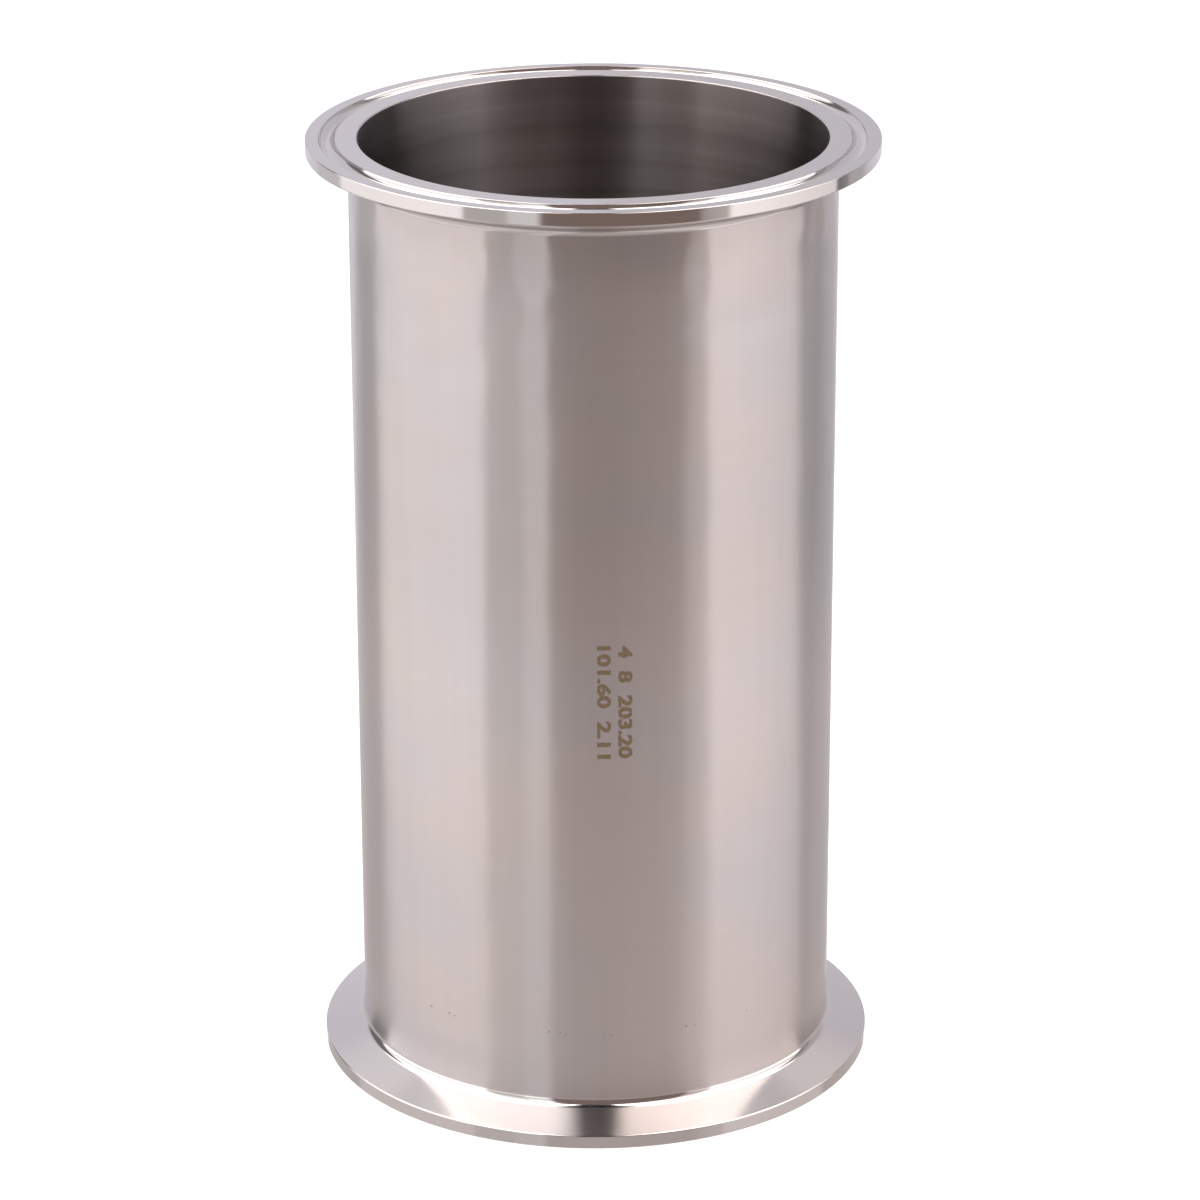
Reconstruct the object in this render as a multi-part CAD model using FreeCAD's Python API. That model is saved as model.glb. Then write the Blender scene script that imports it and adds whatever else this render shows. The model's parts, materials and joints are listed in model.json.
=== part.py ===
import FreeCAD, Part

import math
import os

# A sanitary spool: a thin-walled tube with a turned clamp ferrule butt-welded to each end.
# Millimetres. +Z runs along the bore, and the origin is the centre of the lower sealing face.

# Whole spool
spool_length = 203.2  # from sealing face to sealing face
tube_diameter = 101.6  # outside
wall = 2.11

# Ferrules
ferrule_length = 22.2  # from the sealing face to the middle of the weld
flange_overhang = 8.66  # how far the rim stands out past the tube
rim_thickness = 2.85  # from the sealing face to where the clamp taper would meet the rim
taper_angle = 20.0  # degrees between the clamp taper and the sealing face
rim_back_radius = 0.6  # rounding between the rim and the clamp taper
hub_fillet_radius = 2.2  # between the clamp taper and the hub
edge_break = 0.2  # 45 degree break at the bore and at the rim of each sealing face

# Gasket groove in each sealing face
groove_inset = 4.46  # from the rim to the middle of the groove
groove_width = 3.4  # at the sealing face
groove_depth = 1.45
groove_side_angle = 15.0  # degrees that each side leans in towards the floor
groove_floor_radius = 1.6

# Girth welds, ground flush inside and outside
weld_width = 3.0  # on the outside
weld_root_width = 1.9  # in the bore

# Each rounding of the turned outlines is cut in straight steps, which keeps the rings light.
rounding_error = 0.05  # furthest that a step may leave its arc
shortest_side = 0.001

tube_radius = tube_diameter / 2
bore_radius = tube_radius - wall
rim_radius = tube_radius + flange_overhang

origin = FreeCAD.Vector(0, 0, 0)
middle = FreeCAD.Vector(0, 0, spool_length / 2)
along_bore = FreeCAD.Vector(0, 0, 1)
across_bore = FreeCAD.Vector(1, 0, 0)


def rounded_corner(before, corner, after, radius):
    """Points along the arc that rounds a corner.

    The arc takes no more than half of the shorter side beside it.
    """
    to_before = before - corner
    to_after = after - corner
    half_angle = to_before.getAngle(to_after) / 2
    room = min(to_before.Length, to_after.Length) / 2
    setback = min(radius / math.tan(half_angle), room)
    fitted_radius = setback * math.tan(half_angle)
    to_before.normalize()
    to_after.normalize()
    inwards = (to_before + to_after).normalize()
    nearest = corner + inwards * (fitted_radius / math.sin(half_angle) - fitted_radius)
    arc = Part.Arc(corner + to_before * setback, nearest, corner + to_after * setback)
    step_angle = 2 * math.acos(1 - min(rounding_error / fitted_radius, 1))
    steps = math.ceil((math.pi - 2 * half_angle) / step_angle)
    return arc.discretize(Number=steps + 1)


def outline(corners):
    """A closed outline in the XZ plane, from (radius, height, rounding) corners."""
    sharp = [FreeCAD.Vector(radius, 0, height) for radius, height, rounding in corners]
    following = sharp[1:] + sharp[:1]
    points = []
    for i, (radius, height, rounding) in enumerate(corners):
        if rounding:
            points += rounded_corner(sharp[i - 1], sharp[i], following[i], rounding)
        else:
            points.append(sharp[i])
    apart = [p for i, p in enumerate(points) if p.distanceToPoint(points[i - 1]) > shortest_side]
    return Part.makePolygon(apart + apart[:1])


def turned(corners):
    """The solid that a lathe leaves: an outline taken once round the bore's axis."""
    return Part.Face(outline(corners)).revolve(origin, along_bore, 360)


def turned_end_for_end(shape):
    """The same piece at the other end of the spool."""
    return shape.rotated(middle, across_bore, 180)


def ferrule():
    """The lower clamp ferrule, with its sealing face at z = 0."""
    groove_radius = rim_radius - groove_inset
    groove_inner = groove_radius - groove_width / 2
    groove_outer = groove_radius + groove_width / 2
    groove_lean = groove_depth * math.tan(math.radians(groove_side_angle))
    taper_rise = flange_overhang * math.tan(math.radians(taper_angle))
    return turned([
        (bore_radius, edge_break, 0),
        (bore_radius + edge_break, 0, 0),
        (groove_inner, 0, 0),
        (groove_inner + groove_lean, groove_depth, groove_floor_radius),
        (groove_outer - groove_lean, groove_depth, groove_floor_radius),
        (groove_outer, 0, 0),
        (rim_radius - edge_break, 0, 0),
        (rim_radius, edge_break, 0),
        (rim_radius, rim_thickness, rim_back_radius),
        (tube_radius, rim_thickness + taper_rise, hub_fillet_radius),
        (tube_radius, ferrule_length - weld_width / 2, 0),
        (bore_radius, ferrule_length - weld_root_width / 2, 0),
    ])


def girth_weld():
    """The lower weld: a ring that is wider outside than at its root in the bore."""
    return turned([
        (bore_radius, ferrule_length - weld_root_width / 2, 0),
        (tube_radius, ferrule_length - weld_width / 2, 0),
        (tube_radius, ferrule_length + weld_width / 2, 0),
        (bore_radius, ferrule_length + weld_root_width / 2, 0),
    ])


def tube():
    """The plain tube, with its ends bevelled to the two welds."""
    upper_joint = spool_length - ferrule_length
    return turned([
        (bore_radius, ferrule_length + weld_root_width / 2, 0),
        (tube_radius, ferrule_length + weld_width / 2, 0),
        (tube_radius, upper_joint - weld_width / 2, 0),
        (bore_radius, upper_joint - weld_root_width / 2, 0),
    ])


lower_ferrule = ferrule()
lower_girth_weld = girth_weld()
pieces = {
    "tube_body": tube(),
    "lower_ferrule": lower_ferrule,
    "upper_ferrule": turned_end_for_end(lower_ferrule),
    "lower_girth_weld": lower_girth_weld,
    "upper_girth_weld": turned_end_for_end(lower_girth_weld),
}

os.makedirs("parts", exist_ok=True)
for name, shape in pieces.items():
    shape.exportStep(f"parts/{name}.step")
    print(f"{name}: {shape.Volume:.1f} mm3")
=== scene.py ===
import json
import math

import bmesh
import bpy
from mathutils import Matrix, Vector


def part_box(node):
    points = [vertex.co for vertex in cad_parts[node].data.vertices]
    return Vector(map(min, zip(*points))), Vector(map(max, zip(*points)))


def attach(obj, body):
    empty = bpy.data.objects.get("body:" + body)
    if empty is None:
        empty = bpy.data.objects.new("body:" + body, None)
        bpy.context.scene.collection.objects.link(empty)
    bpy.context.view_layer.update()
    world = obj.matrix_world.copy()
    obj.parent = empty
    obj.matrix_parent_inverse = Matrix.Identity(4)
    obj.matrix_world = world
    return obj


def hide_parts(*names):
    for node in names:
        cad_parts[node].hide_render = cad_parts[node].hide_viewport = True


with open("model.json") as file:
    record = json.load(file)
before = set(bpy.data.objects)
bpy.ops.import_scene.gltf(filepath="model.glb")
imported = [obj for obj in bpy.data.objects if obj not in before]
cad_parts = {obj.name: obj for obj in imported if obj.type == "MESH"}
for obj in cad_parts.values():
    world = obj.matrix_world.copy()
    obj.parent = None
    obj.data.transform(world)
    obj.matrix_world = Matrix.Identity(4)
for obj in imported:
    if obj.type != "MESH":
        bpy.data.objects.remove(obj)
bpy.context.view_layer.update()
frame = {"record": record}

mm = 0.001
scene = bpy.context.scene


def addNode(tree, kind, plugs=None, **settings):
    # a plug is another node's socket or a fixed value
    made = tree.nodes.new(kind)
    for name, value in settings.items():
        setattr(made, name, value)
    for name, value in (plugs or {}).items():
        if isinstance(value, bpy.types.NodeSocket):
            tree.links.new(value, made.inputs[name])
        else:
            made.inputs[name].default_value = value
    return made


def calc(tree, operation, first, second=0.0, third=0.0):
    plugs = {0: first, 1: second, 2: third}
    return addNode(tree, "ShaderNodeMath", plugs, operation=operation).outputs[0]


def ease(tree, value, start, end, low=0.0, high=1.0):
    # smooth ramp from low to high while value goes from start to end
    plugs = {"Value": value, "From Min": start, "From Max": end, "To Min": low, "To Max": high}
    made = addNode(tree, "ShaderNodeMapRange", plugs, interpolation_type="SMOOTHSTEP")
    return made.outputs["Result"]


def compare(tree, operation, first, second):
    return addNode(tree, "FunctionNodeCompare", {0: first, 1: second}, data_type="FLOAT",
                   operation=operation).outputs[0]


def combine(tree, x, y, z):
    return addNode(tree, "ShaderNodeCombineXYZ", {0: x, 1: y, 2: z}).outputs[0]


def split(tree, vector):
    return addNode(tree, "ShaderNodeSeparateXYZ", {0: vector}).outputs


def fromAxis(tree, x, y):
    squares = calc(tree, "ADD", calc(tree, "MULTIPLY", x, x), calc(tree, "MULTIPLY", y, y))
    return calc(tree, "SQRT", squares)


def mixColor(tree, factor, first, second, blend="MIX"):
    plugs = {0: factor, 6: first, 7: second}
    made = addNode(tree, "ShaderNodeMix", plugs, data_type="RGBA", blend_type=blend)
    return made.outputs[2]


def scaled(tree, color, level):
    return mixColor(tree, 1.0, color, combine(tree, level, level, level), "MULTIPLY")


def fractal(tree, vector, scale, detail, roughness):
    plugs = {"Vector": vector, "Scale": scale, "Detail": detail, "Roughness": roughness}
    return addNode(tree, "ShaderNodeTexNoise", plugs).outputs["Fac"]


def varied(tree, level, *swings):
    # a level that each noise swings up and down by its own amount
    total = level - sum(amount for noise, amount in swings) / 2
    for noise, amount in swings:
        total = calc(tree, "MULTIPLY_ADD", noise, amount, total)
    return total


def newMaterial(name):
    made = bpy.data.materials.new(name)
    made.use_nodes = True
    made.node_tree.nodes.clear()
    return made, made.node_tree


tubeLow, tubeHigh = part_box("tube_body")
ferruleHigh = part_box("lower_ferrule")[1]
weldLow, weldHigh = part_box("lower_girth_weld")
weldMiddle = (weldLow.z + weldHigh.z) / 2
tubeRadius = tubeHigh.x
rimRadius = ferruleHigh.x
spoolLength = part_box("upper_ferrule")[1].z
boreRadius = next(m["dims"]["r_mm"] for m in frame["record"]["mounts"] if m["name"] == "bore") * mm

cameraSetup = {
    "lens": 141.4,                             # a long lens, in millimetres
    "sensor": 36,                              # and the sensor's width
    "aim": Vector((1.15 * mm, 0, 100.5 * mm)),
    "distance": 1.0079,
    "elevation": math.radians(20.65),
    "roll": math.radians(-0.13),
}


def makeCamera(setup):
    data = bpy.data.cameras.new("viewCamera")
    data.lens = setup["lens"]
    data.sensor_width = setup["sensor"]
    made = bpy.data.objects.new("viewCamera", data)
    lift = setup["elevation"]
    back = Vector((0, -math.cos(lift), math.sin(lift)))
    made.location = setup["aim"] + back * setup["distance"]
    made.rotation_mode = "ZYX"                 # the roll comes first, about the line of sight
    made.rotation_euler = (math.pi / 2 - lift, 0, setup["roll"])
    scene.collection.objects.link(made)
    scene.camera = made


# Azimuths are degrees round the object: 0 is the camera's side and plus is its right.
# Each screen is (from azimuth, to azimuth, soft edge, color at its start, color at its end,
# share of it that is left low down, share left high up). The roof is measured as distance over
# height, to the right and to the back.
studio = {
    "room": (0.250, 0.187, 0.166),             # dark side, where the camera stands
    "screens": [
        (-139, -119, 3, (0.76, 0.73, 0.74), (0.76, 0.73, 0.74), 0.50, 0.26),  # wall, behind left
        (-120, -52, 4, (1.28, 1.23, 1.22), (1.36, 1.29, 1.28), 0.84, 1),      # tall softbox, left
        (-52, -35, 3, (0.62, 0.585, 0.555), (0.62, 0.585, 0.555), 1, 1),      # wall beside it
        (-35, -21, 4, (0.85, 0.83, 0.82), (0.89, 0.87, 0.86), 1, 1),          # paler strip of it
        (43, 55, 4, (0.50, 0.45, 0.44), (0.66, 0.60, 0.58), 1, 1),            # wall, right
        (55, 113, 3, (1.42, 1.33, 1.32), (1.06, 1.00, 1.00), 0.94, 1),        # tall softbox, right
        (113, 120, 3, (0.20, 0.19, 0.21), (0.34, 0.32, 0.33), 1, 1),          # its dark frame
    ],
    "low": (-20, -27),                         # elevations between which they fade
    "high": (-13, -7),                         # and those between which the other share holds
    "rise": ((-10, 2), (9, 15), (21, 28)),     # they go brighter, plain, and brighter again
    "risePeak": 1.9,
    "riseWithin": (121, 115),                  # but only this far round
    "gap": (0.57, 0.54, 0.55),                 # between the softboxes and the backdrop
    "gapOver": (118, 124),
    "gapLow": 0.58,
    "backdropFrom": 137,                       # azimuth where the white backdrop starts
    "backdropTo": 165,                         # it starts later, lower down
    "backdropLeft": (-14.5, -20.6),            # elevations of these two on the left
    "backdropRight": (-15.5, -16.8),
    "backdropSoft": 4,                         # half width of its soft edge
    "middleSoft": 1,                           # the same where its two halves meet
    "backdropBase": (2.95, 2.81, 2.83),        # it is brightest where it meets the table
    "backdropBaseTo": (-25.5, -22.5),
    "backdropFoot": (1.08, 1.05, 1.06),
    "backdropFootTo": (-17.6, -16),
    "backdrop": (0.80, 0.775, 0.84),
    "backdropTop": (0.96, 0.915, 0.935),       # it is paler higher up
    "backdropTopFrom": (24.0, 38.0),
    "ceiling": (0.78, 0.74, 0.76),             # above the backdrop, behind the roof's softboxes
    "ceilingFrom": (43.0, 49.0),
    "rightShade": 0.88,                        # the backdrop's right half is this much darker
    "rightShadeFrom": (-15, -6),
    "roofBox": (3.4, 3.2, 3.1),                # two softboxes overhead
    "roofSide": (0.92, 0.12),                  # half width, and how it grows to the back
    "roofFront": -0.75,
    "roofBack": (0.22, 0.78),                  # the back edge, and how it grows to the sides
    "roofSkew": 0.12,                          # the left one reaches further back
    "roofSoft": 0.05,                          # half width of its soft edges
    "roofGap": (0.17, 0.07),                   # half width of the gap between the two, and growth
    "roofGapColor": (0.02, 0.022, 0.035),
    "roofGapSoft": 0.008,
    "roofLowest": 0.001,                       # keeps the roof's measures finite at the horizon
    "floorHalf": 4.0,
    "floorColor": (0.8, 0.8, 0.8),
    "floorGlow": 0.55,
    "tableGlow": (0.71, 0.64, 0.62),          # the floor that the metal sees, a painted glow
    "tableCover": 0.68,                        # it is glossy, so the screens show in it
    "tableNear": 0.73,                         # less so close to the spool
    "tableNearTo": (0.062, 0.10),
    "tableDark": 0.12,                         # under the spool it is in shade
    "tableShade": (0.043, 0.053),              # from and to this far from the axis
    "tableEdge": (0.19, 0.40),                 # its light fades out between these
    "ambient": (0.75, 0.75, 0.75),             # light on matt things
    "boxHeight": 1.25,
    "boxSize": (0.42, 1.3),
    "boxGap": 0.3,
    "boxBack": 0.1,
    "boxRadiance": 1.8,
}


def wallColor(tree, azimuth, elevation, setup):
    # the dark room with the gaps and the screens that stand round the spool
    turn = calc(tree, "ABSOLUTE", azimuth)
    first, second, third = setup["rise"]
    rise = calc(tree, "SUBTRACT", ease(tree, elevation, *first), ease(tree, elevation, *second))
    rise = calc(tree, "ADD", rise, ease(tree, elevation, *third))
    rise = calc(tree, "MULTIPLY", rise, ease(tree, turn, *setup["riseWithin"]))
    rise = calc(tree, "MULTIPLY_ADD", rise, setup["risePeak"] - 1.0, 1.0)
    gapShare = ease(tree, elevation, *setup["low"], 1.0, setup["gapLow"])
    gap = scaled(tree, (*setup["gap"], 1), gapShare)
    color = mixColor(tree, ease(tree, turn, *setup["gapOver"]), (*setup["room"], 1), gap)
    for start, end, soft, startColor, endColor, lowShare, highShare in setup["screens"]:
        rising = ease(tree, azimuth, start - soft / 2, start + soft / 2)
        falling = ease(tree, azimuth, end - soft / 2, end + soft / 2, 1.0, 0.0)
        mask = calc(tree, "MULTIPLY", rising, falling)
        screen = mixColor(tree, ease(tree, azimuth, start, end), (*startColor, 1), (*endColor, 1))
        fade = ease(tree, elevation, *setup["low"], 1.0, lowShare)
        fade = calc(tree, "MULTIPLY", fade, ease(tree, elevation, *setup["high"], 1.0, highShare))
        screen = scaled(tree, screen, calc(tree, "MULTIPLY", rise, fade))
        color = mixColor(tree, mask, color, screen)
    return color


def backdropColor(tree, azimuth, elevation, setup):
    # the white backdrop, and a mask that is 1 where it stands
    starts = [ease(tree, elevation, *setup[side], setup["backdropFrom"], setup["backdropTo"])
              for side in ("backdropLeft", "backdropRight")]
    onRight = ease(tree, azimuth, -setup["middleSoft"], setup["middleSoft"])
    start = calc(tree, "SUBTRACT", starts[1], starts[0])
    start = calc(tree, "MULTIPLY_ADD", start, onRight, starts[0])
    past = calc(tree, "SUBTRACT", calc(tree, "ABSOLUTE", azimuth), start)
    mask = ease(tree, past, -setup["backdropSoft"], setup["backdropSoft"])
    color = (*setup["backdropBase"], 1)
    for part, heights in (("backdropFoot", "backdropBaseTo"), ("backdrop", "backdropFootTo"),
                          ("backdropTop", "backdropTopFrom"), ("ceiling", "ceilingFrom")):
        color = mixColor(tree, ease(tree, elevation, *setup[heights]), color, (*setup[part], 1))
    shade = calc(tree, "MULTIPLY", onRight, ease(tree, elevation, *setup["rightShadeFrom"]))
    shade = calc(tree, "MULTIPLY_ADD", shade, setup["rightShade"] - 1.0, 1.0)
    return scaled(tree, color, shade), mask


def roofColor(tree, direction, setup):
    # the two overhead softboxes with their gap, and a mask that is 1 inside all three
    height = calc(tree, "MAXIMUM", direction[2], setup["roofLowest"])
    across = calc(tree, "DIVIDE", direction[0], height)
    right = calc(tree, "ABSOLUTE", across)
    back = calc(tree, "DIVIDE", direction[1], height)
    soft = setup["roofSoft"]
    side, widening = setup["roofSide"]
    past = calc(tree, "SUBTRACT", right, calc(tree, "MULTIPLY_ADD", back, widening, side))
    mask = ease(tree, past, -soft, soft, 1.0, 0.0)
    front = ease(tree, back, setup["roofFront"] - soft, setup["roofFront"] + soft)
    mask = calc(tree, "MULTIPLY", mask, front)
    edge, lengthening = setup["roofBack"]
    edge = calc(tree, "MULTIPLY_ADD", right, lengthening, edge)
    past = calc(tree, "MULTIPLY_ADD", across, setup["roofSkew"], back)
    past = calc(tree, "SUBTRACT", past, edge)
    mask = calc(tree, "MULTIPLY", mask, ease(tree, past, -soft, soft, 1.0, 0.0))
    half, widening = setup["roofGap"]
    past = calc(tree, "SUBTRACT", right, calc(tree, "MULTIPLY_ADD", back, widening, half))
    lit = ease(tree, past, -setup["roofGapSoft"], setup["roofGapSoft"])
    return mixColor(tree, lit, (*setup["roofGapColor"], 1), (*setup["roofBox"], 1)), mask


def makeWorld(setup):
    world = bpy.data.worlds.new("studioWorld")
    scene.world = world
    world.use_nodes = True
    world.cycles.sampling_method = "NONE"      # smooth all over, so it needs no map
    tree = world.node_tree
    tree.nodes.clear()
    direction = split(tree, addNode(tree, "ShaderNodeTexCoord").outputs["Generated"])
    away = calc(tree, "MULTIPLY", direction[1], -1.0)
    azimuth = calc(tree, "DEGREES", calc(tree, "ARCTAN2", direction[0], away))
    elevation = calc(tree, "DEGREES", calc(tree, "ARCSINE", direction[2]))
    color = wallColor(tree, azimuth, elevation, setup)
    for part, mask in (backdropColor(tree, azimuth, elevation, setup),
                       roofColor(tree, direction, setup)):
        color = mixColor(tree, mask, color, part)
    # only reflections see the studio: the camera sees white
    rays = addNode(tree, "ShaderNodeLightPath").outputs
    color = mixColor(tree, rays["Is Glossy Ray"], (*setup["ambient"], 1), color)
    clear = calc(tree, "MAXIMUM", rays["Is Camera Ray"], rays["Is Transmission Ray"])
    color = mixColor(tree, clear, color, (1, 1, 1, 1))
    background = addNode(tree, "ShaderNodeBackground", {"Color": color, "Strength": 1.0})
    addNode(tree, "ShaderNodeOutputWorld", {"Surface": background.outputs[0]})


def floorMaterial(setup):
    made, tree = newMaterial("paleFloor")
    rays = addNode(tree, "ShaderNodeLightPath").outputs
    x, y = split(tree, addNode(tree, "ShaderNodeTexCoord").outputs["Object"])[:2]
    reach = fromAxis(tree, x, y)
    matt = addNode(tree, "ShaderNodeBsdfDiffuse", {"Color": (*setup["floorColor"], 1)}).outputs[0]
    glow = addNode(tree, "ShaderNodeEmission",
                   {"Color": (1, 1, 1, 1), "Strength": setup["floorGlow"]}).outputs[0]
    seen = addNode(tree, "ShaderNodeAddShader", {0: matt, 1: glow}).outputs[0]
    clear = addNode(tree, "ShaderNodeBsdfTransparent").outputs[0]
    # the floor as the metal sees it is a painted glow, with painted shade under the spool
    shade = ease(tree, reach, *setup["tableShade"], setup["tableDark"], 1.0)
    table = addNode(tree, "ShaderNodeEmission",
                    {"Color": (*setup["tableGlow"], 1), "Strength": shade}).outputs[0]
    cover = ease(tree, reach, *setup["tableNearTo"], setup["tableNear"], setup["tableCover"])
    cover = calc(tree, "MULTIPLY", cover, ease(tree, reach, *setup["tableEdge"], 1.0, 0.0))
    mirrored = addNode(tree, "ShaderNodeMixShader", {0: cover, 1: clear, 2: table}).outputs[0]
    surface = addNode(tree, "ShaderNodeMixShader",
                      {0: rays["Is Glossy Ray"], 1: seen, 2: mirrored}).outputs[0]
    under = addNode(tree, "ShaderNodeNewGeometry").outputs["Backfacing"]
    surface = addNode(tree, "ShaderNodeMixShader", {0: under, 1: surface, 2: clear}).outputs[0]
    addNode(tree, "ShaderNodeOutputMaterial", {"Surface": surface})
    return made


def makeFloor(setup):
    mesh = bpy.data.meshes.new("floorSheet")
    half = setup["floorHalf"]
    mesh.from_pydata([(-half, -half, 0), (half, -half, 0), (half, half, 0), (-half, half, 0)],
                     [], [(0, 1, 2, 3)])
    mesh.materials.append(floorMaterial(setup))
    made = bpy.data.objects.new("floorSheet", mesh)
    scene.collection.objects.link(made)


def makeSoftboxes(setup):
    width, length = setup["boxSize"]
    for side, name in ((-1, "overheadBoxLeft"), (1, "overheadBoxRight")):
        data = bpy.data.lights.new(name, "AREA")
        data.shape = "RECTANGLE"
        data.size, data.size_y = width, length
        data.energy = setup["boxRadiance"] * math.pi * width * length
        made = bpy.data.objects.new(name, data)
        made.location = (side * (setup["boxGap"] + width) / 2, setup["boxBack"],
                         setup["boxHeight"])
        made.visible_glossy = False            # the world shows them to the metal
        scene.collection.objects.link(made)


# A noise is (scale, detail, roughness). The heights are metres of bump over its whole range.
brushedLook = {
    "coolColor": (0.565, 0.540, 0.545),
    "warmColor": (0.590, 0.540, 0.526),        # in clouds
    "cloudNoise": (28.0, 2.0, 0.5),
    "cloudRamp": (0.35, 0.65),
    "lineStretch": 0.012,                      # brush marks are this much finer up than round
    "lineShade": 0.05,
    "fineNoise": (5200.0, 3.0, 0.65),
    "fineHeight": 1.5e-6,
    "broadNoise": (900.0, 2.0, 0.5),
    "broadHeight": 2.0e-6,
    "bandNoise": (260.0, 2.0, 0.6),            # level bands
    "bandShade": 0.03,
    "streakNoise": (320.0, 2.0, 0.6),          # upright streaks
    "streakStretch": 0.03,
    "streakShade": 0.07,
    "streakHeight": 6e-6,
    "dentNoise": (55.0, 1.0, 0.4),             # shallow dents
    "dentHeight": 200e-6,
    "rippleNoise": (90.0, 1.0, 0.4),           # ripples that grow towards the top
    "rippleHeight": 420e-6,
    "rippleOver": (10 * mm, 60 * mm),          # measured down from the top
    "paintedShadeOver": (85 * mm, 135 * mm),           # painted shade: the colour is darkened above this
    "paintedShadeHigh": 0.90,
    "rough": 0.25,                             # of the narrow gloss, which is stretched
    "roughLines": 0.05,
    "roughClouds": 0.04,
    "anisotropic": 1.0,
    "brushTurn": 0.25,                         # it is stretched across the brush marks
    "satinShare": 0.39,                        # share of the broad gloss
    "satinRough": 0.72,
    "satinAnisotropic": 0.2,
    "satinLow": 0.45,                          # its roughness near the lower end
    "slantOver": (0.50, 0.64),                 # seen this much aslant, the next two hold
    "satinSlant": 0.28,                        # its share
    "satinAslant": 0.30,                       # its roughness
    "buffedOver": (9 * mm, 26 * mm),           # measured from each end
    "buffedLow": 0.9,                          # the narrow gloss is clearer there by this
    "buffedHigh": 0.7,
}
weldLook = {
    **brushedLook,
    "pitColor": (0.12, 0.07, 0.06),
    "pitRough": 0.5,
}
boreShadedLook = {
    # painted shade: the bore's colour is about half as bright as the outside's, for the dim inside
    # of the tube
    **brushedLook,
    "coolColor": (0.275, 0.252, 0.254),
    "warmColor": (0.285, 0.252, 0.243),
    "cloudNoise": (38.0, 2.0, 0.5),
    "fineNoise": (4200.0, 3.0, 0.65),
    "broadNoise": (700.0, 2.0, 0.5),
    "bandNoise": (200.0, 2.0, 0.6),
    "bandShade": 0.75,
    "streakNoise": (200.0, 2.0, 0.6),
    "streakShade": 0.10,
    "streakHeight": 4e-6,
    "dentHeight": 8e-6,
    "rippleHeight": 0.0,
    "paintedShadeHigh": 1.0,
    "rough": 0.29,
    "roughLines": 0.015,
    "roughClouds": 0.005,
    "satinShare": 0.02,
    "satinRough": 0.6,
    "satinLow": 0.6,
    "satinSlant": 0.02,
    "buffedLow": 1.0,
    "buffedHigh": 1.0,
}
polishedLook = {
    **brushedLook,
    "coolColor": (0.622, 0.60, 0.60),
    "warmColor": (0.645, 0.605, 0.588),
    "cloudNoise": (25.0, 2.0, 0.5),
    "lineStretch": 0.006,
    "lineShade": 0.03,
    "fineNoise": (4200.0, 3.0, 0.65),
    "fineHeight": 0.4e-6,
    "broadNoise": (700.0, 2.0, 0.5),
    "broadHeight": 0.6e-6,
    "streakShade": 0.0,
    "streakHeight": 0.0,
    "dentNoise": (45.0, 1.0, 0.4),
    "dentHeight": 5e-6,
    "rippleHeight": 0.0,
    "paintedShadeHigh": 1.0,
    "rough": 0.10,
    "roughLines": 0.03,
    "roughClouds": 0.02,
    "anisotropic": 0.75,
    "satinShare": 0.012,
    "satinRough": 0.6,
    "satinLow": 0.6,
    "satinSlant": 0.012,
    "buffedLow": 1.0,
    "buffedHigh": 1.0,
}


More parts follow.
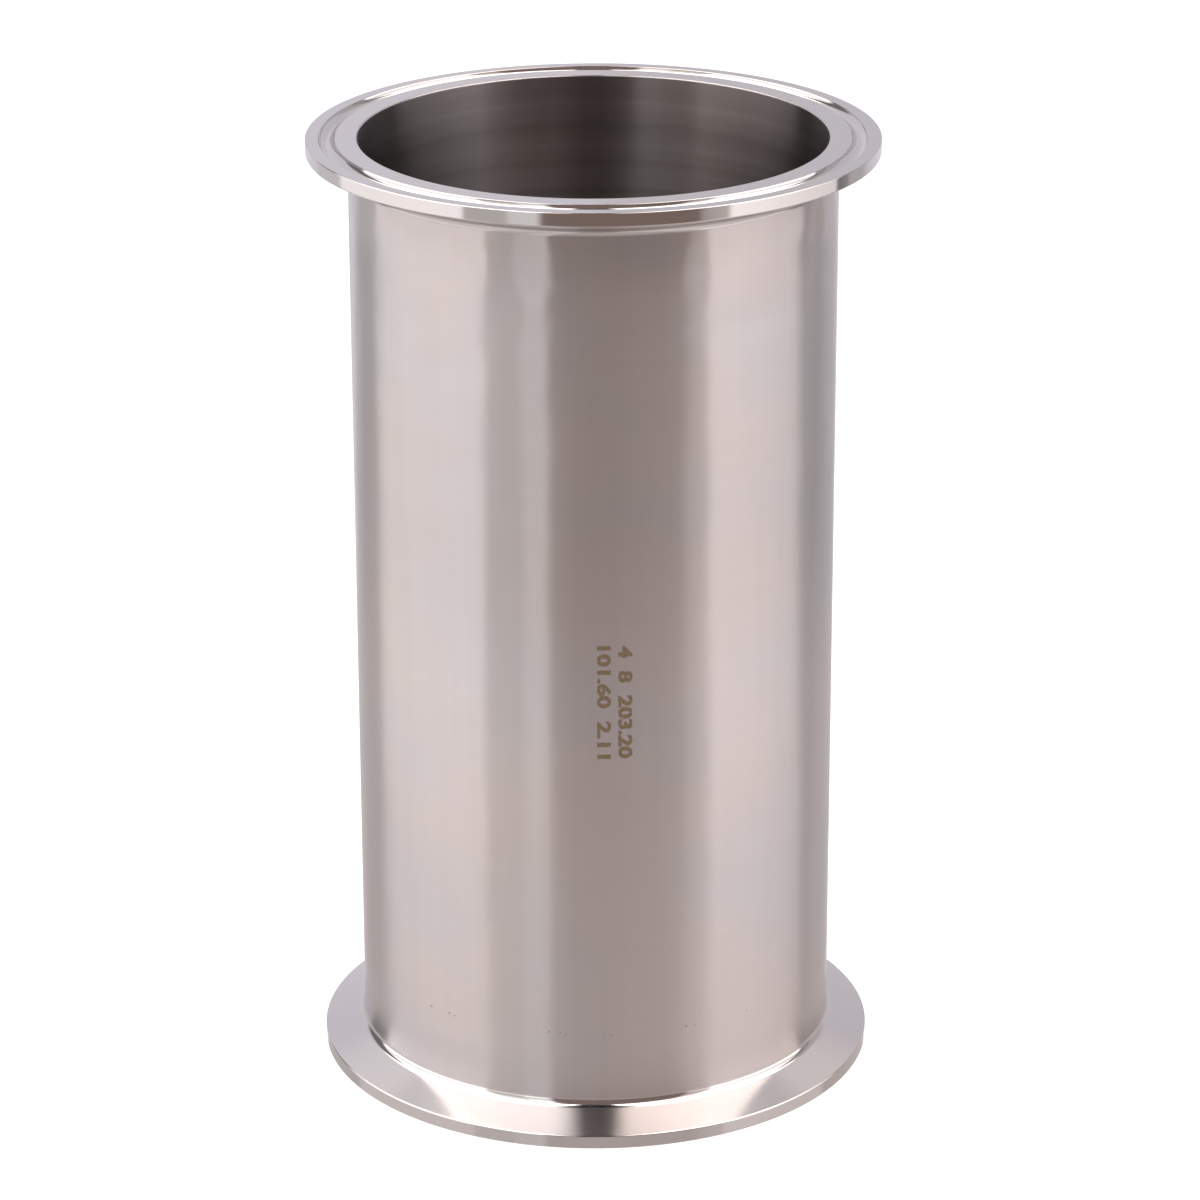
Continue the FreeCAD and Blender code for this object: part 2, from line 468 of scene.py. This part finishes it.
def steelMaterial(name, look):
    made, tree = newMaterial(name)
    position = addNode(tree, "ShaderNodeTexCoord").outputs["Object"]
    x, y, z = split(tree, position)
    # the brush marks run round the axis, and on flat faces they are rings
    stretch = look["lineStretch"]
    lines = combine(tree, calc(tree, "MULTIPLY", x, stretch), calc(tree, "MULTIPLY", y, stretch),
                    calc(tree, "SUBTRACT", z, fromAxis(tree, x, y)))
    alongBrush = combine(tree, calc(tree, "MULTIPLY", y, -1.0), x, 0.0)
    fine = fractal(tree, lines, *look["fineNoise"])
    broad = fractal(tree, lines, *look["broadNoise"])
    bands = fractal(tree, lines, *look["bandNoise"])
    upright = combine(tree, x, y, calc(tree, "MULTIPLY", z, look["streakStretch"]))
    streaks = fractal(tree, upright, *look["streakNoise"])
    clouds = fractal(tree, position, *look["cloudNoise"])
    dents = fractal(tree, position, *look["dentNoise"])
    ripples = fractal(tree, position, *look["rippleNoise"])

    tint = mixColor(tree, ease(tree, clouds, *look["cloudRamp"]), (*look["coolColor"], 1),
                    (*look["warmColor"], 1))
    shade = varied(tree, 1.0, (fine, look["lineShade"]), (bands, look["bandShade"]),
                   (streaks, look["streakShade"]))
    # painted shade that darkens the colour towards the top of the tube
    tone = ease(tree, z, *look["paintedShadeOver"], 1.0, look["paintedShadeHigh"])
    tint = scaled(tree, tint, calc(tree, "MULTIPLY", shade, tone))

    rough = varied(tree, look["rough"], (fine, look["roughLines"]), (clouds, look["roughClouds"]))
    near, far = look["buffedOver"]
    lowEnd = ease(tree, z, far, near)
    highEnd = ease(tree, z, spoolLength - far, spoolLength - near)
    for nearness, buffed in ((lowEnd, look["buffedLow"]), (highEnd, look["buffedHigh"])):
        rough = calc(tree, "MULTIPLY", rough, ease(tree, nearness, 0, 1, 1.0, buffed))
    satin = calc(tree, "MULTIPLY_ADD", lowEnd, look["satinLow"] - look["satinRough"],
                 look["satinRough"])
    # brushed steel mirrors more clearly when it is seen aslant
    facing = addNode(tree, "ShaderNodeLayerWeight", {"Blend": 0.5}).outputs["Facing"]
    satin = ease(tree, facing, *look["slantOver"], satin, look["satinAslant"])
    share = ease(tree, facing, *look["slantOver"], look["satinShare"], look["satinSlant"])

    near, far = look["rippleOver"]
    rippleHeight = ease(tree, z, spoolLength - far, spoolLength - near, 0.0, look["rippleHeight"])
    height = 0.0
    for noise, amount in ((fine, look["fineHeight"]), (broad, look["broadHeight"]),
                          (dents, look["dentHeight"]), (streaks, look["streakHeight"]),
                          (ripples, rippleHeight)):
        height = calc(tree, "MULTIPLY_ADD", noise, amount, height)
    relief = addNode(tree, "ShaderNodeBump", {"Height": height, "Strength": 1.0,
                                              "Distance": 1.0}).outputs[0]

    if "pitColor" in look:
        pit = addNode(tree, "ShaderNodeAttribute", attribute_name="pit").outputs["Fac"]
        tint = mixColor(tree, pit, tint, (*look["pitColor"], 1))
        rough = calc(tree, "MAXIMUM", rough, calc(tree, "MULTIPLY", pit, look["pitRough"]))
    glosses = []
    for roughness, anisotropic in ((rough, look["anisotropic"]),
                                   (satin, look["satinAnisotropic"])):
        plugs = {"Base Color": tint, "Metallic": 1.0, "Roughness": roughness, "Normal": relief,
                 "Tangent": alongBrush, "Anisotropic": anisotropic,
                 "Anisotropic Rotation": look["brushTurn"]}
        glosses.append(addNode(tree, "ShaderNodeBsdfPrincipled", plugs).outputs[0])
    surface = addNode(tree, "ShaderNodeMixShader",
                      {0: share, 1: glosses[0], 2: glosses[1]}).outputs[0]
    addNode(tree, "ShaderNodeOutputMaterial", {"Surface": surface})
    return made


markLook = {
    "color": (0.192, 0.131, 0.076),
    "metallic": 0.35,
    "rough": 0.5,
    "grainNoise": (2600.0, 2.0, 0.6),
    "grainRamp": (0.3, 0.7),
    "grainShade": (0.8, 1.2),
}


def markMaterial(look):
    made, tree = newMaterial("laserMark")
    position = addNode(tree, "ShaderNodeTexCoord").outputs["Object"]
    grain = fractal(tree, position, *look["grainNoise"])
    shade = ease(tree, grain, *look["grainRamp"], *look["grainShade"])
    plugs = {"Base Color": scaled(tree, (*look["color"], 1), shade),
             "Metallic": look["metallic"], "Roughness": look["rough"]}
    surface = addNode(tree, "ShaderNodeBsdfPrincipled", plugs).outputs[0]
    addNode(tree, "ShaderNodeOutputMaterial", {"Surface": surface})
    return made


def newGeometryTree(name, inputs):
    tree = bpy.data.node_groups.new(name, "GeometryNodeTree")
    tree.interface.new_socket("Geometry", in_out="INPUT", socket_type="NodeSocketGeometry")
    for kind, labels in inputs.items():
        for label in labels:
            tree.interface.new_socket(label, in_out="INPUT", socket_type="NodeSocket" + kind)
    tree.interface.new_socket("Geometry", in_out="OUTPUT", socket_type="NodeSocketGeometry")
    return tree, addNode(tree, "NodeGroupInput").outputs


def setInputs(modifier, values):
    items = modifier.node_group.interface.items_tree
    for name, value in values.items():
        socket = next(s for s in items if s.name == name and s.in_out == "INPUT")
        modifier[socket.identifier] = value


ringMesh = {
    "segments": 360,
    "cornerSteps": 8,
    "sharpAngle": math.radians(35),
    "blend": 0.06 * mm,                        # the brushing runs this far up the fillet
    "boreSkin": 0.03 * mm,                     # the bore's finish ends this far outside it
}


def latheTree():
    # turns a closed outline (x = radius, y = height) round the Z axis
    tree, given = newGeometryTree("turnedRing", {
        "Int": ("Segments Round", "Steps per Corner"),
        "Float": ("Bore Radius", "Bore Skin", "Brushed Within", "Sharp Angle"),
        "Material": ("Finish", "Brushed Finish", "Bore Finish"),
    })
    outline = addNode(tree, "GeometryNodeMeshToCurve", {"Mesh": given["Geometry"]}).outputs[0]
    rounding = addNode(tree, "GeometryNodeInputNamedAttribute", {"Name": "rounding"},
                       data_type="FLOAT").outputs["Attribute"]
    rounded = addNode(tree, "GeometryNodeFilletCurve",
                      {"Curve": outline, "Radius": rounding, "Limit Radius": True,
                       "Count": given["Steps per Corner"]}, mode="POLY").outputs[0]
    radius, height = split(tree, addNode(tree, "GeometryNodeInputPosition").outputs[0])[:2]
    turned = combine(tree, calc(tree, "SUBTRACT", radius, given["Bore Radius"]),
                     calc(tree, "MULTIPLY", height, -1.0), 0.0)
    section = addNode(tree, "GeometryNodeSetPosition",
                      {"Geometry": rounded, "Position": turned}).outputs[0]
    circle = addNode(tree, "GeometryNodeCurvePrimitiveCircle",
                     {"Resolution": given["Segments Round"], "Radius": given["Bore Radius"]},
                     mode="RADIUS").outputs[0]
    ring = addNode(tree, "GeometryNodeCurveToMesh",
                   {"Curve": circle, "Profile Curve": section}).outputs[0]
    smooth = addNode(tree, "GeometryNodeSetShadeSmooth",
                     {"Geometry": ring, "Shade Smooth": True}, domain="FACE").outputs[0]
    angle = addNode(tree, "GeometryNodeInputMeshEdgeAngle").outputs[0]
    sharp = compare(tree, "GREATER_THAN", angle, given["Sharp Angle"])
    creased = addNode(tree, "GeometryNodeSetShadeSmooth",
                      {"Geometry": smooth, "Selection": sharp, "Shade Smooth": False},
                      domain="EDGE").outputs[0]
    real = addNode(tree, "GeometryNodeRealizeInstances", {"Geometry": creased}).outputs[0]
    dressed = addNode(tree, "GeometryNodeSetMaterial",
                      {"Geometry": real, "Material": given["Finish"]}).outputs[0]
    x, y = split(tree, addNode(tree, "GeometryNodeInputPosition").outputs[0])[:2]
    reach = fromAxis(tree, x, y)
    boreLimit = calc(tree, "ADD", given["Bore Radius"], given["Bore Skin"])
    for limit, finish in ((given["Brushed Within"], "Brushed Finish"), (boreLimit, "Bore Finish")):
        within = compare(tree, "LESS_THAN", reach, limit)
        dressed = addNode(tree, "GeometryNodeSetMaterial",
                          {"Geometry": dressed, "Selection": within,
                           "Material": given[finish]}).outputs[0]
    addNode(tree, "NodeGroupOutput", {"Geometry": dressed})
    return tree


def outlineMesh(name, corners):
    mesh = bpy.data.meshes.new(name)
    count = len(corners)
    mesh.from_pydata([(radius, height, 0) for radius, height, rounding in corners],
                     [(i, (i + 1) % count) for i in range(count)], [])
    layer = mesh.attributes.new("rounding", "FLOAT", "POINT")
    layer.data.foreach_set("value", [rounding for radius, height, rounding in corners])
    return mesh


def bakedPiece(name, source):
    # the evaluated modifiers as a plain mesh on a new object at the origin
    depsgraph = bpy.context.evaluated_depsgraph_get()
    mesh = bpy.data.meshes.new_from_object(source.evaluated_get(depsgraph),
                                           preserve_all_data_layers=True, depsgraph=depsgraph)
    mesh.name = name
    bpy.data.objects.remove(source)
    made = bpy.data.objects.new(name, mesh)
    scene.collection.objects.link(made)
    return made


def outwards(mesh):
    shell = bmesh.new()
    shell.from_mesh(mesh)
    bmesh.ops.recalc_face_normals(shell, faces=shell.faces)
    shell.to_mesh(mesh)
    shell.free()


def turnedPiece(name, corners, tree, finishes, segments, extras=()):
    source = bpy.data.objects.new(name + "Outline", outlineMesh(name + "Outline", corners))
    scene.collection.objects.link(source)
    modifier = source.modifiers.new("turn", "NODES")
    modifier.node_group = tree
    setInputs(modifier, {
        "Segments Round": segments,
        "Steps per Corner": ringMesh["cornerSteps"],
        "Bore Radius": boreRadius,
        "Bore Skin": ringMesh["boreSkin"],
        "Brushed Within": tubeRadius + ringMesh["blend"],
        "Sharp Angle": ringMesh["sharpAngle"],
        **finishes,
    })
    for extra in extras:
        extra(source)
    made = bakedPiece(name, source)
    outwards(made.data)
    even = made.modifiers.new("even", "WEIGHTED_NORMAL")
    even.keep_sharp = True
    return bakedPiece(name, made)


def turnedOver(corners):
    return [(radius, spoolLength - height, rounding) for radius, height, rounding in corners]


def tubeCorners():
    return [
        (boreRadius, tubeLow.z, 0),
        (tubeRadius, weldHigh.z, 0),
        (tubeRadius, spoolLength - weldHigh.z, 0),
        (boreRadius, tubeHigh.z, 0),
    ]


ferruleShape = {
    "rimThickness": 2.85 * mm,
    "taperAngle": math.radians(20),
    "rimBackRounding": 0.33 * mm,
    "hubRounding": 2.2 * mm,
    "edgeRounding": 0.22 * mm,
    "boreRounding": 0.32 * mm,
    "grooveInset": 4.46 * mm,
    "grooveWidth": 3.4 * mm,
    "grooveDepth": 1.45 * mm,
    "grooveSideAngle": math.radians(15),
    "grooveFloorRounding": 1.6 * mm,
    "grooveLipRounding": 0.15 * mm,
}


def ferruleCorners(shape):
    grooveMiddle = rimRadius - shape["grooveInset"]
    inner = grooveMiddle - shape["grooveWidth"] / 2
    outer = grooveMiddle + shape["grooveWidth"] / 2
    depth = shape["grooveDepth"]
    lean = depth * math.tan(shape["grooveSideAngle"])
    rise = (rimRadius - tubeRadius) * math.tan(shape["taperAngle"])
    return [
        (boreRadius, 0, shape["boreRounding"]),
        (inner, 0, shape["grooveLipRounding"]),
        (inner + lean, depth, shape["grooveFloorRounding"]),
        (outer - lean, depth, shape["grooveFloorRounding"]),
        (outer, 0, shape["grooveLipRounding"]),
        (rimRadius, 0, shape["edgeRounding"]),
        (rimRadius, shape["rimThickness"], shape["rimBackRounding"]),
        (tubeRadius, shape["rimThickness"] + rise, shape["hubRounding"]),
        (tubeRadius, weldLow.z, 0),
        (boreRadius, ferruleHigh.z, 0),
    ]


weldRing = {
    "segments": 2400,
    "rowSpacing": 0.1 * mm,                    # rows this close carry the pits
    "rows": 7,                                 # on each side of the middle
    "pits": {"lowerWeld": 44, "upperWeld": 6},
    "pitRadius": (0.13 * mm, 0.31 * mm),
    "pitFloor": 0.3,                           # share of its radius that is flat
    "pitDepth": 0.16 * mm,
    "pitSpread": 0.35 * mm,
    "seeds": {"lowerWeld": 3673, "upperWeld": 5},   # these say where the pits lie
}


def weldCorners(ring):
    root = tubeLow.z - ferruleHigh.z
    rows = range(-ring["rows"], ring["rows"] + 1)
    return [
        (boreRadius, weldMiddle - root / 2, 0),
        (tubeRadius, weldLow.z, 0),
        *[(tubeRadius, weldMiddle + row * ring["rowSpacing"], 0) for row in rows],
        (tubeRadius, weldHigh.z, 0),
        (boreRadius, weldMiddle + root / 2, 0),
    ]


def pitTree():
    # sinks small round pits into the ring at random places round it
    tree, given = newGeometryTree("weldPits", {
        "Int": ("Pits", "Seed"),
        "Float": ("Ring Radius", "Wall", "Height", "Spread", "Smallest", "Largest", "Depth",
                  "Floor Share"),
        "Material": ("Finish",),
    })

    def randomBetween(low, high, offset):
        seed = calc(tree, "ADD", given["Seed"], offset)
        return addNode(tree, "FunctionNodeRandomValue", {2: low, 3: high, "Seed": seed},
                       data_type="FLOAT").outputs[1]

    points = addNode(tree, "GeometryNodePoints", {"Count": given["Pits"]}).outputs[0]
    angle = randomBetween(-math.pi, math.pi, 0.0)
    across = calc(tree, "MULTIPLY", calc(tree, "COSINE", angle), given["Ring Radius"])
    back = calc(tree, "MULTIPLY", calc(tree, "SINE", angle), given["Ring Radius"])
    drift = randomBetween(calc(tree, "MULTIPLY", given["Spread"], -1.0), given["Spread"], 1.0)
    spot = combine(tree, across, back, calc(tree, "ADD", given["Height"], drift))
    points = addNode(tree, "GeometryNodeSetPosition",
                     {"Geometry": points, "Position": spot}).outputs[0]
    size = randomBetween(given["Smallest"], given["Largest"], 2.0)
    points = addNode(tree, "GeometryNodeStoreNamedAttribute",
                     {"Geometry": points, "Name": "size", "Value": size},
                     data_type="FLOAT", domain="POINT").outputs[0]
    nearest = addNode(tree, "GeometryNodeSampleNearest", {"Geometry": points}).outputs[0]
    kept = addNode(tree, "GeometryNodeInputNamedAttribute", {"Name": "size"},
                   data_type="FLOAT").outputs["Attribute"]
    radius = addNode(tree, "GeometryNodeSampleIndex",
                     {"Geometry": points, "Value": kept, "Index": nearest},
                     data_type="FLOAT", domain="POINT").outputs[0]
    distance = addNode(tree, "GeometryNodeProximity", {"Geometry": points},
                       target_element="POINTS").outputs["Distance"]
    pit = ease(tree, distance, radius, calc(tree, "MULTIPLY", radius, given["Floor Share"]))
    inwards = calc(tree, "DIVIDE", calc(tree, "MULTIPLY", pit, given["Depth"]),
                   given["Ring Radius"])
    shrink = calc(tree, "SUBTRACT", 1.0, inwards)
    x, y, z = split(tree, addNode(tree, "GeometryNodeInputPosition").outputs[0])
    sunk = combine(tree, calc(tree, "MULTIPLY", x, shrink), calc(tree, "MULTIPLY", y, shrink), z)
    noted = addNode(tree, "GeometryNodeStoreNamedAttribute",
                    {"Geometry": given["Geometry"], "Name": "pit", "Value": pit},
                    data_type="FLOAT", domain="POINT").outputs[0]
    ring = addNode(tree, "GeometryNodeSetPosition",
                   {"Geometry": noted, "Position": sunk}).outputs[0]
    real = addNode(tree, "GeometryNodeRealizeInstances", {"Geometry": ring}).outputs[0]
    # the finish goes on what lies outside the middle of the wall
    middle = calc(tree, "MULTIPLY_ADD", given["Wall"], -0.5, given["Ring Radius"])
    outside = compare(tree, "GREATER_THAN", fromAxis(tree, x, y), middle)
    dressed = addNode(tree, "GeometryNodeSetMaterial",
                      {"Geometry": real, "Selection": outside, "Material": given["Finish"]})
    addNode(tree, "NodeGroupOutput", {"Geometry": dressed.outputs[0]})
    return tree


def sinkPits(ring, tree, name, height, finish):
    # returns what adds the pits to this weld's turned ring
    def add(source):
        modifier = source.modifiers.new("pits", "NODES")
        modifier.node_group = tree
        setInputs(modifier, {
            "Pits": ring["pits"][name],
            "Seed": ring["seeds"][name],
            "Ring Radius": tubeRadius,
            "Wall": tubeRadius - boreRadius,
            "Height": height,
            "Spread": ring["pitSpread"],
            "Smallest": ring["pitRadius"][0],
            "Largest": ring["pitRadius"][1],
            "Depth": ring["pitDepth"],
            "Floor Share": ring["pitFloor"],
            "Finish": finish,
        })
    return add


def standFor(piece, node):
    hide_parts(node)
    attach(piece, "root")
    print(piece.name, len(piece.data.polygons), "faces")


def makeTubeAndFerrules(tree, brushed, bore):
    polished = steelMaterial("polishedFerruleSteel", polishedLook)
    finishes = {"Brushed Finish": brushed, "Bore Finish": bore}
    ferrule = ferruleCorners(ferruleShape)
    for name, corners, finish, node, slot in (
            ("tubeShell", tubeCorners(), brushed, "tube_body", "brushed_tube"),
            ("lowerFerrule", ferrule, polished, "lower_ferrule", "polished_ferrule"),
            ("upperFerrule", turnedOver(ferrule), polished, "upper_ferrule",
             "polished_ferrule")):
        piece = turnedPiece(name, corners, tree, {"Finish": finish, **finishes},
                            ringMesh["segments"])
        standFor(piece, node)


def makeWelds(tree, bore):
    dressed = steelMaterial("dressedWeldSteel", weldLook)
    finishes = {"Finish": dressed, "Brushed Finish": dressed, "Bore Finish": bore}
    pits = pitTree()
    weld = weldCorners(weldRing)
    for name, corners, height, node in (
            ("lowerWeld", weld, weldMiddle, "lower_girth_weld"),
            ("upperWeld", turnedOver(weld), spoolLength - weldMiddle, "upper_girth_weld")):
        sink = sinkPits(weldRing, pits, name, height, dressed)
        piece = turnedPiece(name, corners, tree, finishes, weldRing["segments"], (sink,))
        standFor(piece, node)


sizeMark = {
    "lines": ("4  8  203.20", "101.60  2.11"),   # nominal sizes, and then millimetres
    "capHeight": 3.0 * mm,
    "weight": 0.042,                           # how much the strokes are thickened
    "curveSteps": 3,
    "lineStep": 4.36 * mm,
    "top": 109.6 * mm,                         # the reading starts here and goes down
    "length": 24.8 * mm,
    "edge": 7.8 * mm,                          # from the tube's front round to the first line
    "height": 0.012 * mm,
    "root": 0.03 * mm,                         # the digits start this deep in the wall
    "step": 0.4 * mm,                          # cut this fine, so that they follow the tube
    "mergeWithin": 1e-4,
}


def flatLine(words, mark):
    # one line of digits as a slab of the right size, lying along X from 0 with its feet on Y 0
    curve = bpy.data.curves.new("sizeLine", "FONT")
    curve.body = words
    curve.size = 1.0
    curve.resolution_u = mark["curveSteps"]
    curve.extrude = 0.5                        # only tells the front from the back
    curve.offset = mark["weight"]
    source = bpy.data.objects.new("sizeLine", curve)
    scene.collection.objects.link(source)
    depsgraph = bpy.context.evaluated_depsgraph_get()
    mesh = bpy.data.meshes.new_from_object(source.evaluated_get(depsgraph), depsgraph=depsgraph)
    bpy.data.objects.remove(source)
    line = bmesh.new()
    line.from_mesh(mesh)
    bmesh.ops.remove_doubles(line, verts=line.verts, dist=mark["mergeWithin"])
    low = [min(vertex.co[axis] for vertex in line.verts) for axis in range(2)]
    high = [max(vertex.co[axis] for vertex in line.verts) for axis in range(2)]
    along = mark["length"] / (high[0] - low[0])
    up = mark["capHeight"] / (high[1] - low[1])
    for vertex in line.verts:
        x, y, z = vertex.co
        vertex.co = ((x - low[0]) * along, (y - low[1]) * up, z)
    line.to_mesh(mesh)
    line.free()
    return mesh


def makeSizeMark(mark, finish):
    shell = bmesh.new()
    for number, words in enumerate(mark["lines"]):
        line = flatLine(words, mark)
        for vertex in line.vertices:
            vertex.co.y -= number * mark["lineStep"]
        shell.from_mesh(line)
    bottom = min(vertex.co.y for vertex in shell.verts)
    for cut in range(1, int((mark["capHeight"] - bottom) / mark["step"]) + 1):
        bmesh.ops.bisect_plane(shell, geom=shell.verts[:] + shell.edges[:] + shell.faces[:],
                               plane_co=(0, bottom + cut * mark["step"], 0), plane_no=(0, 1, 0))
    bmesh.ops.triangulate(shell, faces=shell.faces)
    for vertex in shell.verts:
        x, y, z = vertex.co
        turn = (mark["edge"] - mark["capHeight"] + y) / tubeRadius
        reach = tubeRadius + (mark["height"] if z > 0 else -mark["root"])
        vertex.co = (reach * math.sin(turn), -reach * math.cos(turn), mark["top"] - x)
    bmesh.ops.recalc_face_normals(shell, faces=shell.faces)
    mesh = bpy.data.meshes.new("sizeNumerals")
    shell.to_mesh(mesh)
    shell.free()
    mesh.materials.append(finish)
    made = bpy.data.objects.new("sizeNumerals", mesh)
    scene.collection.objects.link(made)
    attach(made, "root")
    print(made.name, len(mesh.polygons), "faces")


makeCamera(cameraSetup)
makeWorld(studio)
makeFloor(studio)
makeSoftboxes(studio)
scene.view_settings.view_transform = "Standard"
print("studio ready")

lathe = latheTree()
brushedSteel = steelMaterial("brushedTubeSteel", brushedLook)
boreSteelShaded = steelMaterial("boreSteelShaded", boreShadedLook)
makeTubeAndFerrules(lathe, brushedSteel, boreSteelShaded)
makeWelds(lathe, boreSteelShaded)
print("spool turned")
makeSizeMark(sizeMark, markMaterial(markLook))
print("size marked")
